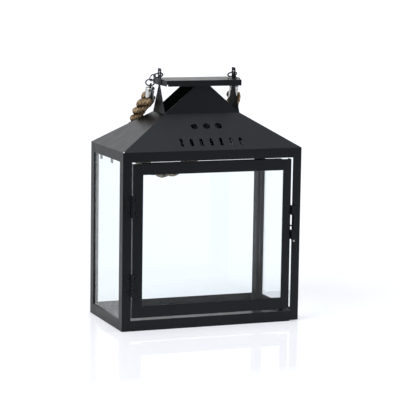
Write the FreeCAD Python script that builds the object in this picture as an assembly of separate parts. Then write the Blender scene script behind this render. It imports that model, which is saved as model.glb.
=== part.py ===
import FreeCAD, Part
import math
import os

# Candle lantern of folded sheet steel: an angle frame with three fixed panes and a
# glazed door, a hipped roof with a vented chimney, and a rope handle on ring links.
# Millimetres. X runs along the front, Y into the depth and Z up.
# The origin is the middle of the underside.

# --- body ---
BODY_W = 280.0            # outside width
BODY_D = 150.0            # outside depth
EAVE_Z = 262.0            # top of the frame
SHEET = 1.2               # wall of the angle sections
POST_LEG = 13.5           # a post's leg along the front or back
POST_SIDE_LEG = 15.2      # and its leg along the side
POST_ROUND = 0.9          # outer bend of a corner post
RAIL_FLANGE = 12.0        # inward leg of a rail
BOTTOM_RAIL_H = 15.7
TOP_RAIL_H = 14.5
SEAM = 0.1                # hairline where a rail butts a post
LOOSE_FOOT = 1.5          # the front right post stops this far above the ground
TRAY_T = 1.0

# --- glazing ---
GLASS_T = 2.0
GLASS_GAP = 0.2
CLIP_T = 0.8
CLIP_W = 9.0
TOP_CLIP_DROP = 7.0       # a top clip shows this far below its rail
BOTTOM_CLIP_H = 9.0
SIDE_CLIP_Y = (-16.0, 33.0)
BACK_CLIP_X = (-80.0, 0.0, 80.0)

# --- roof and chimney ---
ROOF_SHEET = 1.0
ROOF_TOP_W = 119.0
ROOF_TOP_D = 50.0
ROOF_RISE = 49.2
HIP_SEAM = 0.12
HOLE_D = 11.0
HOLE_X = (-19.0, 0.0, 19.0)
HOLE_UP_SLOPE = 46.0
SLOT_W = 5.0
SLOT_L = 15.0
SLOT_PITCH = 15.5
SLOT_COUNT = 7
SLOT_UP_SLOPE = 16.0
CHIMNEY_EDGE_RUN = 1.17   # how fast the front and back panels narrow with height
CAP_W = 116.6
CAP_D = 60.0
CAP_BOTTOM_Z = 351.8
CAP_H = 8.9
CAP_RIGHT = 60.0          # the cap runs past the right end panel, whose ear comes up through a slot
CAP_SLOT = (58.25, 6.95)  # where the slot starts, and its half length
CAP_NOTCH = 2.2
CAP_NOTCH_H = 2.8
END_NECK = 3.0            # half width of an end panel below the cap
EAR_HALF = 6.7
EAR_TOP_Z = 377.0
EAR_CORNER = 2.4
EYE_Z = 369.8
EYE_R = 2.8

# --- door ---
DOOR_LEFT = -124.7
DOOR_RIGHT = 123.9
DOOR_BOTTOM = 19.3
DOOR_TOP = 245.6
DOOR_DEPTH = 11.0
STILE_LEFT_W = 15.7
STILE_RIGHT_W = 13.2
DOOR_TOP_H = 16.6
DOOR_BOTTOM_H = 17.7

# --- hinges ---
HINGE_X = -125.8
HINGE_Y = -77.4
HINGE_Z = (68.0, 183.0)
HINGE_H = 32.0
LEAF_T = 0.9
FRAME_LEAF_X = -137.2
DOOR_LEAF_X = -116.4
BARREL_R = 2.2
PIN_R = 1.0
PIN_FIT = 0.06
KNUCKLES = 5
KNUCKLE_GAP = 0.3
NOTCH = 0.35
RIVET_R = 1.7
RIVET_H = 0.6
RIVET_OFF = 9.5

# --- latch ---
PLATE_X = (128.4, 134.2)
PLATE_Z = (105.0, 176.0)
PLATE_T = 0.8
LUG_X = (124.6, 132.6)
LUG_FRONT_Y = -79.6
LUG_Z = ((125.0, 139.0), (161.5, 176.0))
LUG_ROOT_X = (124.8, 126.3)   # the lugs' roots, which fill the gap beside the door
LUG_ROOT_DEPTH = 11.0
ROD_X = 129.0
ROD_Y = -77.5
ROD_R = 1.2
ROD_FIT = 0.06
ROD_Z = (122.6, 178.0)
ROD_BALL_R = 1.7
CLIP_Z = (144.4, 146.8)
CLIP_PATH = (
    (114.5, -75.3), (122.8, -75.3), (125.2, -76.8), (127.1, -76.8),
    (127.1, -79.3), (130.9, -79.3), (130.9, -76.9),
)
CLIP_STRIP_T = 0.6

# --- handle: ring, link, bail ring and ferrule at each end, right side given ---
EYE_X = 59.0
EYE_RING = (6.6, 1.15)
EYE_RING_DROOP = 35.0
LINK_RING = (5.5, 0.9)
LINK_CENTRE = (66.32, 10.02, 362.35)
LINK_NORMAL = (-0.793, 0.333, -0.51)
BAIL_RING = (6.5, 1.05)
BAIL_CENTRE = (68.74, 13.67, 354.8)
BAIL_NORMAL = (0.243, -0.741, -0.626)
FERRULE_R = 7.0
FERRULE_L = 16.0
FERRULE_SHOULDER = 1.2
FERRULE_AXIS = (-0.02, -0.27, 0.963)
FERRULE_SKIRT = 8.0       # spare length below the mouth, cut flush with the rope's end
FERRULE_LOOP = (3.0, 0.9)
LOOP_STANDOFF = 2.6
LOOP_NORMAL = (-0.759, -0.622, -0.19)

# --- rope ---
ROPE_D = 19.0
ROPE_ROUTE = (
    (-67.4, 21.6, 332.4), (-70.7, 27.7, 325.2), (-73.4, 35.2, 318.2), (-74.5, 44.5, 311.0),
    (-74.0, 55.5, 302.5), (-72.5, 67.5, 292.3), (-72.0, 81.0, 279.8), (-71.0, 92.0, 264.5),
    (-66.8, 98.6, 247.5), (-58.0, 101.6, 231.5), (-44.5, 102.7, 218.5), (-27.5, 103.0, 210.2),
    (-8.5, 103.0, 207.6), (10.8, 102.8, 211.3), (27.3, 101.8, 221.0), (39.8, 99.8, 236.0),
    (48.5, 96.0, 253.0), (55.5, 88.8, 269.5), (62.2, 78.4, 283.4), (68.2, 67.0, 294.4),
    (72.4, 55.8, 303.0), (74.3, 45.0, 310.8), (73.4, 35.2, 318.2), (70.7, 27.7, 325.2),
    (67.4, 21.6, 332.4),
)
ROPE_BEND = 0.45          # share of the shorter run that an arc takes

HALF_W = BODY_W / 2
HALF_D = BODY_D / 2
ROOF_TOP_Z = EAVE_Z + ROOF_RISE
TRAY_TOP = SHEET + 0.2 + TRAY_T

V = FreeCAD.Vector


def box(x0, x1, y0, y1, z0, z1):
    """A box between two corners."""
    return Part.makeBox(x1 - x0, y1 - y0, z1 - z0, V(x0, y0, z0))


def prism(points, along):
    """The closed outline through the points, pushed along a vector."""
    corners = [V(*p) for p in points]
    outline = Part.makePolygon(corners + corners[:1])
    return Part.Face(outline).extrude(V(*along))


def mirror_x(shape):
    """The same piece on the other end of the lantern."""
    return shape.mirror(V(0, 0, 0), V(1, 0, 0))


def mirror_y(shape):
    """The same piece on the other side, front to back."""
    return shape.mirror(V(0, 0, 0), V(0, 1, 0))


def upright_angle(x, y, leg_x, leg_y, z0, z1):
    """An upright angle section with its outer corner at x, y and signed legs."""
    sx = math.copysign(SHEET, leg_x)
    sy = math.copysign(SHEET, leg_y)
    outline = [
        (x, y, z0), (x + leg_x, y, z0), (x + leg_x, y + sy, z0),
        (x + sx, y + sy, z0), (x + sx, y + leg_y, z0), (x, y + leg_y, z0),
    ]
    return prism(outline, (0, 0, z1 - z0))


def rounded_corner(shape, x, y, radius):
    """Rounds the upright edge that stands at x, y."""
    edges = []
    for edge in shape.Edges:
        ends = [v.Point for v in edge.Vertexes]
        if len(ends) == 2 and all(math.hypot(p.x - x, p.y - y) < 1e-6 for p in ends):
            edges.append(edge)
    return shape.makeFillet(radius, edges)


def posts():
    """The four corner posts."""
    made = {}
    for side, sx in (("left", -1), ("right", 1)):
        for row, sy in (("front", -1), ("back", 1)):
            foot = LOOSE_FOOT if (side, row) == ("right", "front") else 0.0
            x = sx * HALF_W
            y = sy * HALF_D
            post = upright_angle(x, y, -sx * POST_LEG, -sy * POST_SIDE_LEG, foot, EAVE_Z)
            made[f"post_{row}_{side}"] = rounded_corner(post, x, y, POST_ROUND)
    return made


def rail_section(height, outer_z, flange_dir):
    """A rail's outline as pairs: distance inward from the outer face, and height."""
    far = outer_z + flange_dir * height
    lip = outer_z + flange_dir * SHEET
    return [
        (0, outer_z), (RAIL_FLANGE, outer_z), (RAIL_FLANGE, lip),
        (SHEET, lip), (SHEET, far), (0, far),
    ]


def rails():
    """The eight rails between the posts."""
    made = {}
    levels = (
        ("bottom", rail_section(BOTTOM_RAIL_H, 0.0, 1)),
        ("top", rail_section(TOP_RAIL_H, EAVE_Z, -1)),
    )
    half_long = HALF_W - POST_LEG - SEAM
    half_short = HALF_D - POST_SIDE_LEG - SEAM
    for level, section in levels:
        front = prism([(-half_long, -HALF_D + a, z) for a, z in section], (2 * half_long, 0, 0))
        left = prism([(-HALF_W + a, -half_short, z) for a, z in section], (0, 2 * half_short, 0))
        made[f"rail_{level}_front"] = front
        made[f"rail_{level}_back"] = mirror_y(front)
        made[f"rail_{level}_left"] = left
        made[f"rail_{level}_right"] = mirror_x(left)
    return made


def floor_tray():
    """The flat floor that lies on the bottom rails."""
    edge = SHEET + 0.3
    return box(
        -HALF_W + edge, HALF_W - edge, -HALF_D + edge, HALF_D - edge, TRAY_TOP - TRAY_T, TRAY_TOP
    )


def panes():
    """The left, right and back panes."""
    outer_x = HALF_W - SHEET - GLASS_GAP
    outer_y = HALF_D - SHEET - GLASS_GAP
    top = EAVE_Z - SHEET - 1.3
    side_back = outer_y - GLASS_T - GLASS_GAP
    left = box(-outer_x, -outer_x + GLASS_T, -outer_y, side_back, TRAY_TOP, top)
    back = box(-outer_x, outer_x, outer_y - GLASS_T, outer_y, TRAY_TOP, top)
    return {"pane_left": left, "pane_right": mirror_x(left), "pane_back": back}


def pane_clips():
    """Tabs that hold the fixed panes against the frame, at the top and at the floor."""
    inner_x = HALF_W - SHEET - 2 * GLASS_GAP - GLASS_T
    inner_y = HALF_D - SHEET - 2 * GLASS_GAP - GLASS_T
    top = EAVE_Z - SHEET
    spans = (
        (top - TOP_RAIL_H + SHEET - TOP_CLIP_DROP, top),
        (TRAY_TOP, TRAY_TOP + BOTTOM_CLIP_H),
    )
    side = []
    back = []
    for z0, z1 in spans:
        for y in SIDE_CLIP_Y:
            side.append(box(-inner_x, -inner_x + CLIP_T, y - CLIP_W / 2, y + CLIP_W / 2, z0, z1))
        for x in BACK_CLIP_X:
            back.append(box(x - CLIP_W / 2, x + CLIP_W / 2, inner_y - CLIP_T, inner_y, z0, z1))
    left = Part.makeCompound(side)
    return {
        "clips_left": left,
        "clips_right": mirror_x(left),
        "clips_back": Part.makeCompound(back),
    }


def frustum(half_w, half_d, top_half_w, top_half_d):
    """A solid hipped roof between the eave and the chimney."""
    rings = []
    for w, d, z in ((half_w, half_d, EAVE_Z), (top_half_w, top_half_d, ROOF_TOP_Z)):
        corners = [V(-w, -d, z), V(w, -d, z), V(w, d, z), V(-w, d, z)]
        rings.append(Part.makePolygon(corners + corners[:1]))
    return Part.makeLoft(rings, True, True)


def roof_vents():
    """Cutters for the pierced pattern: a row of holes above a row of upright slots."""
    run = HALF_D - ROOF_TOP_D / 2
    slope = math.hypot(run, ROOF_RISE)
    up = V(0, run / slope, ROOF_RISE / slope)
    out = V(0, -ROOF_RISE / slope, run / slope)
    foot = V(0, -HALF_D, EAVE_Z)
    reach = 6.0

    def drill(x, rise, radius):
        base = foot + V(x, 0, 0) + up * rise - out * reach
        return Part.makeCylinder(radius, 2 * reach, base, out)

    cutters = [drill(x, HOLE_UP_SLOPE, HOLE_D / 2) for x in HOLE_X]
    for i in range(SLOT_COUNT):
        x = (i - (SLOT_COUNT - 1) / 2) * SLOT_PITCH
        straight = SLOT_L - SLOT_W
        low = SLOT_UP_SLOPE - straight / 2
        corner = foot + V(x - SLOT_W / 2, 0, 0) + up * low - out * reach
        across = V(SLOT_W, 0, 0)
        outline = [corner, corner + across, corner + across + up * straight, corner + up * straight]
        slot = Part.Face(Part.makePolygon(outline + outline[:1])).extrude(out * 2 * reach)
        for rise in (low, low + straight):
            slot = slot.fuse(drill(x, rise, SLOT_W / 2))
        cutters.append(slot)
    return cutters


def roof():
    """Four sheet panels mitred along the hips."""
    run_d = HALF_D - ROOF_TOP_D / 2
    run_w = HALF_W - ROOF_TOP_W / 2
    inset_d = ROOF_SHEET * math.hypot(run_d, ROOF_RISE) / ROOF_RISE
    inset_w = ROOF_SHEET * math.hypot(run_w, ROOF_RISE) / ROOF_RISE
    outer = frustum(HALF_W, HALF_D, ROOF_TOP_W / 2, ROOF_TOP_D / 2)
    inner = frustum(
        HALF_W - inset_w, HALF_D - inset_d, ROOF_TOP_W / 2 - inset_w, ROOF_TOP_D / 2 - inset_d
    )
    shell = outer.cut(inner)
    eave = [(-HALF_W, -HALF_D), (HALF_W, -HALF_D), (HALF_W, HALF_D), (-HALF_W, HALF_D)]
    top = [(math.copysign(ROOF_TOP_W / 2, x), math.copysign(ROOF_TOP_D / 2, y)) for x, y in eave]
    made = {}
    for k, name in enumerate(("front", "right", "back", "left")):
        n = (k + 1) % 4
        plan = [eave[k], eave[n], top[n], top[k]]
        wedge = prism([(x, y, EAVE_Z - 1) for x, y in plan], (0, 0, ROOF_RISE + 2))
        shift = {"front": (0, -1), "right": (1, 0), "back": (0, 1), "left": (-1, 0)}[name]
        wedge.translate(V(shift[0] * HIP_SEAM, shift[1] * HIP_SEAM, 0))
        made[f"roof_{name}"] = shell.common(wedge)
    for cutter in roof_vents():
        made["roof_front"] = made["roof_front"].cut(cutter)
    return made


def chimney_side():
    """The front chimney panel, which narrows upward and tucks inside the cap."""
    y = -ROOF_TOP_D / 2
    base = CAP_W / 2
    tuck_z = CAP_BOTTOM_Z + CAP_H - ROOF_SHEET - 0.1
    peak = ROOF_TOP_W / 2 - CHIMNEY_EDGE_RUN * (tuck_z - ROOF_TOP_Z)
    shoulder = (ROOF_TOP_W / 2 - base) / CHIMNEY_EDGE_RUN
    outline = [
        (-base, y, ROOF_TOP_Z), (base, y, ROOF_TOP_Z), (base, y, ROOF_TOP_Z + shoulder),
        (peak, y, tuck_z), (-peak, y, tuck_z), (-base, y, ROOF_TOP_Z + shoulder),
    ]
    return prism(outline, (0, ROOF_SHEET, 0))


def chimney_end():
    """The right end panel, with the ear and eye that carry the handle."""
    x = ROOF_TOP_W / 2 - ROOF_SHEET
    half = ROOF_TOP_D / 2
    neck_z = CAP_BOTTOM_Z - 0.3
    ear_z = neck_z + 3.0
    round_z = EAR_TOP_Z - EAR_CORNER
    inner = EAR_HALF - EAR_CORNER
    outline = [
        (x, -half, ROOF_TOP_Z), (x, half, ROOF_TOP_Z), (x, END_NECK, neck_z), (x, EAR_HALF, ear_z),
        (x, EAR_HALF, round_z), (x, inner, round_z), (x, inner, EAR_TOP_Z), (x, -inner, EAR_TOP_Z),
        (x, -inner, round_z), (x, -EAR_HALF, round_z), (x, -EAR_HALF, ear_z), (x, -END_NECK, neck_z),
    ]
    panel = prism(outline, (ROOF_SHEET, 0, 0))
    for y in (-inner, inner):
        panel = panel.fuse(Part.makeCylinder(EAR_CORNER, ROOF_SHEET, V(x, y, round_z), V(1, 0, 0)))
    eye = Part.makeCylinder(EYE_R, 3 * ROOF_SHEET, V(x - ROOF_SHEET, 0, EYE_Z), V(1, 0, 0))
    return panel.cut(eye).removeSplitter()


def chimney_cap():
    """A shallow folded tray, upside down, slotted for the right ear and relieved at one corner."""
    top = CAP_BOTTOM_Z + CAP_H
    left = -CAP_W / 2
    half_d = CAP_D / 2
    cap = box(left, CAP_RIGHT, -half_d, half_d, CAP_BOTTOM_Z, top)
    cap = cap.cut(box(
        left + ROOF_SHEET, CAP_RIGHT - ROOF_SHEET, -half_d + ROOF_SHEET, half_d - ROOF_SHEET,
        CAP_BOTTOM_Z - 1, top - ROOF_SHEET,
    ))
    cap = cap.cut(box(CAP_SLOT[0], CAP_RIGHT + 1, -CAP_SLOT[1], CAP_SLOT[1], CAP_BOTTOM_Z - 1, top + 1))
    return cap.cut(box(
        left - 1, left + CAP_NOTCH, -half_d - 1, -half_d + CAP_NOTCH,
        CAP_BOTTOM_Z - 1, CAP_BOTTOM_Z + CAP_NOTCH_H,
    ))


def chimney():
    """The chimney's four panels and its cap."""
    front = chimney_side()
    right = chimney_end()
    return {
        "chimney_front": front,
        "chimney_back": mirror_y(front),
        "chimney_end_right": right,
        "chimney_end_left": mirror_x(right),
        "chimney_cap": chimney_cap(),
    }


def rivet(x, y, z):
    """A low domed head that stands forward of y."""
    return Part.makeCone(RIVET_R, 0.55 * RIVET_R, RIVET_H, V(x, y, z), V(0, -1, 0))


def hinge_leaf(centre_z, edge_x, mine):
    """A leaf on the front face, with the knuckles whose numbers it owns."""
    toward = math.copysign(1, edge_x - HINGE_X)
    bottom = centre_z - HINGE_H / 2
    pitch = HINGE_H / KNUCKLES
    near = HINGE_X + toward * (BARREL_R + NOTCH)
    plate = box(
        min(near, edge_x), max(near, edge_x), -HALF_D - LEAF_T, -HALF_D, bottom, bottom + HINGE_H
    )
    for k in mine:
        z0 = bottom + k * pitch + (KNUCKLE_GAP / 2 if k else 0)
        z1 = bottom + (k + 1) * pitch - (KNUCKLE_GAP / 2 if k < KNUCKLES - 1 else 0)
        web = box(min(near, HINGE_X), max(near, HINGE_X), -HALF_D - LEAF_T, -HALF_D - 0.25, z0, z1)
        barrel = Part.makeCylinder(BARREL_R, z1 - z0, V(HINGE_X, HINGE_Y, z0))
        plate = plate.fuse(web).fuse(barrel)
    bore = Part.makeCylinder(PIN_R + PIN_FIT, HINGE_H + 2, V(HINGE_X, HINGE_Y, bottom - 1))
    return plate.cut(bore).removeSplitter()


def hinges():
    """Two butt hinges: the odd knuckles stay with the frame, the even ones turn with the door."""
    made = {}
    frame_rivets = []
    door_rivets = []
    frame_x = (FRAME_LEAF_X + HINGE_X - BARREL_R) / 2
    door_x = (DOOR_LEAF_X + HINGE_X + BARREL_R) / 2
    for name, z in zip(("lower", "upper"), HINGE_Z):
        made[f"hinge_leaf_frame_{name}"] = hinge_leaf(z, FRAME_LEAF_X, range(0, KNUCKLES, 2))
        made[f"hinge_leaf_door_{name}"] = hinge_leaf(z, DOOR_LEAF_X, range(1, KNUCKLES, 2))
        made[f"hinge_pin_{name}"] = Part.makeCylinder(
            PIN_R, HINGE_H + 1.0, V(HINGE_X, HINGE_Y, z - HINGE_H / 2 - 0.5)
        )
        for dz in (-RIVET_OFF, RIVET_OFF):
            frame_rivets.append(rivet(frame_x, -HALF_D - LEAF_T, z + dz))
            door_rivets.append(rivet(door_x, -HALF_D - LEAF_T, z + dz))
    made["hinge_rivets_frame"] = Part.makeCompound(frame_rivets)
    made["hinge_rivets_door"] = Part.makeCompound(door_rivets)
    return made


def bent_strip(path, thickness, z0, z1):
    """A strip of sheet that follows a path in plan."""
    strip = None
    for (ax, ay), (bx, by) in zip(path[:-1], path[1:]):
        along = V(bx - ax, by - ay, 0)
        side = V(-along.y, along.x, 0).normalize() * (thickness / 2)
        a = V(ax, ay, z0)
        b = V(bx, by, z0)
        outline = [a + side, b + side, b - side, a - side]
        piece = Part.Face(Part.makePolygon(outline + outline[:1])).extrude(V(0, 0, z1 - z0))
        if strip is None:
            strip = piece
        else:
            strip = strip.fuse(Part.makeCylinder(thickness / 2, z1 - z0, a)).fuse(piece)
    return strip.removeSplitter()


def latch():
    """A keeper rod between two lugs on the frame, and a spring clip on the door."""
    plate = box(*PLATE_X, -HALF_D - PLATE_T, -HALF_D, *PLATE_Z)
    bore = Part.makeCylinder(ROD_R + ROD_FIT, PLATE_Z[1] - PLATE_Z[0] + 8, V(ROD_X, ROD_Y, PLATE_Z[0]))
    lugs = []
    for span in LUG_Z:
        root = box(*LUG_ROOT_X, -HALF_D - PLATE_T, -HALF_D + LUG_ROOT_DEPTH, *span)
        lug = box(*LUG_X, LUG_FRONT_Y, -HALF_D - PLATE_T, *span).cut(bore)
        lugs.append(lug.fuse(root).removeSplitter())
    rod = Part.makeCylinder(ROD_R, ROD_Z[1] - ROD_Z[0], V(ROD_X, ROD_Y, ROD_Z[0]))
    ball = Part.makeSphere(ROD_BALL_R, V(ROD_X, ROD_Y, ROD_Z[0]))
    plate_mid = sum(PLATE_X) / 2
    clip_mid = sum(CLIP_Z) / 2
    return {
        "latch_plate": plate,
        "latch_lugs": Part.makeCompound(lugs),
        "latch_rod": rod.fuse(ball).removeSplitter(),
        "latch_rivet": rivet(plate_mid, -HALF_D - PLATE_T, PLATE_Z[0] + 5),
        "latch_clip": bent_strip(CLIP_PATH, CLIP_STRIP_T, *CLIP_Z),
        "latch_clip_rivet": rivet(CLIP_PATH[0][0] + 4.5, CLIP_PATH[0][1] - CLIP_STRIP_T / 2, clip_mid),
    }


def door():
    """The door's angle frame, its pane and the tabs behind the pane."""
    front = -HALF_D
    back = front + DOOR_DEPTH
    rail_x0 = DOOR_LEFT + STILE_LEFT_W + SEAM
    rail_x1 = DOOR_RIGHT - STILE_RIGHT_W - SEAM
    left = upright_angle(DOOR_LEFT, front, STILE_LEFT_W, DOOR_DEPTH, DOOR_BOTTOM, DOOR_TOP)
    right = upright_angle(DOOR_RIGHT, front, -STILE_RIGHT_W, DOOR_DEPTH, DOOR_BOTTOM, DOOR_TOP)
    top = box(rail_x0, rail_x1, front, front + SHEET, DOOR_TOP - DOOR_TOP_H, DOOR_TOP)
    top = top.fuse(box(rail_x0, rail_x1, front, back, DOOR_TOP - SHEET, DOOR_TOP))
    bottom = box(rail_x0, rail_x1, front, front + SHEET, DOOR_BOTTOM, DOOR_BOTTOM + DOOR_BOTTOM_H)
    bottom = bottom.fuse(box(rail_x0, rail_x1, front, back, DOOR_BOTTOM, DOOR_BOTTOM + SHEET))
    inset = SHEET + 1.0
    glass_y = front + SHEET + GLASS_GAP
    pane = box(
        DOOR_LEFT + inset, DOOR_RIGHT - inset, glass_y, glass_y + GLASS_T,
        DOOR_BOTTOM + inset, DOOR_TOP - inset,
    )
    clip_y = glass_y + GLASS_T + GLASS_GAP
    reach = 10.0
    clips = []
    height = DOOR_TOP - DOOR_BOTTOM
    for share in (0.16, 0.5, 0.84):
        z = DOOR_BOTTOM + share * height
        clips.append(box(
            DOOR_LEFT + SHEET, DOOR_LEFT + SHEET + reach, clip_y, clip_y + CLIP_T,
            z - CLIP_W / 2, z + CLIP_W / 2,
        ))
        clips.append(box(
            DOOR_RIGHT - SHEET - reach, DOOR_RIGHT - SHEET, clip_y, clip_y + CLIP_T,
            z - CLIP_W / 2, z + CLIP_W / 2,
        ))
    return {
        "door_stile_left": left,
        "door_stile_right": right,
        "door_rail_top": top.removeSplitter(),
        "door_rail_bottom": bottom.removeSplitter(),
        "door_pane": pane,
        "door_clips": Part.makeCompound(clips),
    }


def ferrule():
    """The right ferrule: a sleeve over the rope's end, cut flush with it, and a loop on top."""
    mouth = V(*ROPE_ROUTE[-1])
    into_rope = (V(*ROPE_ROUTE[-2]) - mouth).normalize()
    axis = V(*FERRULE_AXIS).normalize()
    foot = mouth - axis * FERRULE_SKIRT
    shoulder = mouth + axis * (FERRULE_L - FERRULE_SHOULDER)
    crown = mouth + axis * FERRULE_L
    body = Part.makeCylinder(FERRULE_R, (shoulder - foot).Length, foot, axis)
    cone = Part.makeCone(FERRULE_R, FERRULE_R - FERRULE_SHOULDER, FERRULE_SHOULDER, shoulder, axis)
    loop = Part.makeTorus(*FERRULE_LOOP, crown + axis * LOOP_STANDOFF, V(*LOOP_NORMAL))
    beyond = Part.makeCylinder(2 * ROPE_D, 2 * ROPE_D, mouth, into_rope)
    return body.cut(beyond).fuse(cone).fuse(loop).removeSplitter()


def handle_ends():
    """The linked rings and the ferrule at each end of the rope."""
    droop = math.radians(EYE_RING_DROOP)
    down = V(0, math.cos(droop), -math.sin(droop))
    eye = V(EYE_X, 0, EYE_Z)
    right = {
        "ring_eye": Part.makeTorus(*EYE_RING, eye + down * EYE_RING[0], down.cross(V(1, 0, 0))),
        "ring_link": Part.makeTorus(*LINK_RING, V(*LINK_CENTRE), V(*LINK_NORMAL)),
        "ring_bail": Part.makeTorus(*BAIL_RING, V(*BAIL_CENTRE), V(*BAIL_NORMAL)),
        "ferrule": ferrule(),
    }
    made = {}
    for name, shape in right.items():
        made[f"{name}_right"] = shape
        made[f"{name}_left"] = mirror_x(shape)
    return made


def rope():
    """The rope: straight runs joined by tangent arcs, with a round section."""
    points = [V(*p) for p in ROPE_ROUTE]
    edges = []
    radii = []
    start = points[0]
    for before, corner, after in zip(points[:-2], points[1:-1], points[2:]):
        back = (before - corner).normalize()
        ahead = (after - corner).normalize()
        half_turn = (math.pi - back.getAngle(ahead)) / 2
        reach = ROPE_BEND * min((before - corner).Length, (after - corner).Length)
        radius = reach / math.tan(half_turn)
        arc_in = corner + back * reach
        arc_out = corner + ahead * reach
        middle = (back + ahead).normalize()
        crest = corner + middle * (radius / math.cos(half_turn) - radius)
        edges.append(Part.LineSegment(start, arc_in).toShape())
        edges.append(Part.Arc(arc_in, crest, arc_out).toShape())
        radii.append(radius)
        start = arc_out
    edges.append(Part.LineSegment(start, points[-1]).toShape())
    path = Part.Wire(edges)
    length = path.Length
    section = Part.Wire(Part.makeCircle(ROPE_D / 2, points[0], points[1] - points[0]))
    tube = path.makePipeShell([section], True, False)
    expected = math.pi * (ROPE_D / 2) ** 2 * length
    print("rope radii:", " ".join(f"{r:.0f}" for r in radii))
    print(f"rope length {length:.1f}, volume {tube.Volume:.0f}, section x length {expected:.0f}")
    return tube


def main():
    os.makedirs("parts", exist_ok=True)
    nodes = {"floor_tray": floor_tray(), "rope": rope()}
    for group in (posts, rails, panes, pane_clips, roof, chimney, hinges, latch, door, handle_ends):
        nodes.update(group())
    for name, shape in nodes.items():
        shape.exportStep(f"parts/{name}.step")
    print(len(nodes), "nodes")


main()
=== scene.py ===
"""The looks of a candle lantern: black coated sheet steel, clear panes and a jute rope handle.

Everything is in metres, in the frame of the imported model: +X along the front, +Y from the door
to the back, +Z up, with the middle of the underside at the origin.
"""

import logging
import math
from dataclasses import dataclass, field
from enum import Enum

import bmesh
import bpy
import numpy as np
from bpy.types import ID, Material, Mesh, Node, NodeSocket, NodeTree, World
from bpy.types import Object as Piece
from mathutils import Matrix, Vector


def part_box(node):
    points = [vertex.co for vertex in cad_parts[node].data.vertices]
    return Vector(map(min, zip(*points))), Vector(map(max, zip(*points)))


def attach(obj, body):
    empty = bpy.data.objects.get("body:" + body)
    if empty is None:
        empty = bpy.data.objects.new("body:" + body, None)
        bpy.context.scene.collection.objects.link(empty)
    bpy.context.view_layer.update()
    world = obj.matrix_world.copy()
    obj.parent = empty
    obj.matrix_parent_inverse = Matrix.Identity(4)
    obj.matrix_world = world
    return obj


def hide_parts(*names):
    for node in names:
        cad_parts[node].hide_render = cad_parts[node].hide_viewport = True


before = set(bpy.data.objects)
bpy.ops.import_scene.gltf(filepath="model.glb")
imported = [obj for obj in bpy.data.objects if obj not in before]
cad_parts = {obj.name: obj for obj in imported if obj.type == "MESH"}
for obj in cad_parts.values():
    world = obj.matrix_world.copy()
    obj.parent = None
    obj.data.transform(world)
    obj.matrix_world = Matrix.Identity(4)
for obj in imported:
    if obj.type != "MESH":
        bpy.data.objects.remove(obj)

MM = 0.001
SOFT = (0.3, 0.7)  # where soft noise does most of its changing

log = logging.getLogger("lantern")

Colour = tuple[float, float, float]
Point = tuple[float, float, float]
Pair = tuple[float, float]


class Body(Enum):
    """The lantern's rigid bodies."""

    LANTERN = "lantern_body"
    DOOR = "door"
    HANDLE = "handle"


class Slot(Enum):
    """The record's material slots."""

    PAINT = "black_paint"
    HARDWARE = "black_hardware"
    GLASS = "glass"
    BRIGHT = "bright_metal"
    ROPE = "rope"


class End(Enum):
    """The two ends of the lantern, with the sign of their X."""

    LEFT = -1
    RIGHT = 1

    @property
    def word(self) -> str:
        """The end's name as it stands in node names."""
        return self.name.lower()

    def mirror(self, point: Point) -> Vector:
        """A point or direction of the right end, carried to this end."""
        return Vector((self.value * point[0], *point[1:]))


# --- Node trees ---


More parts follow.
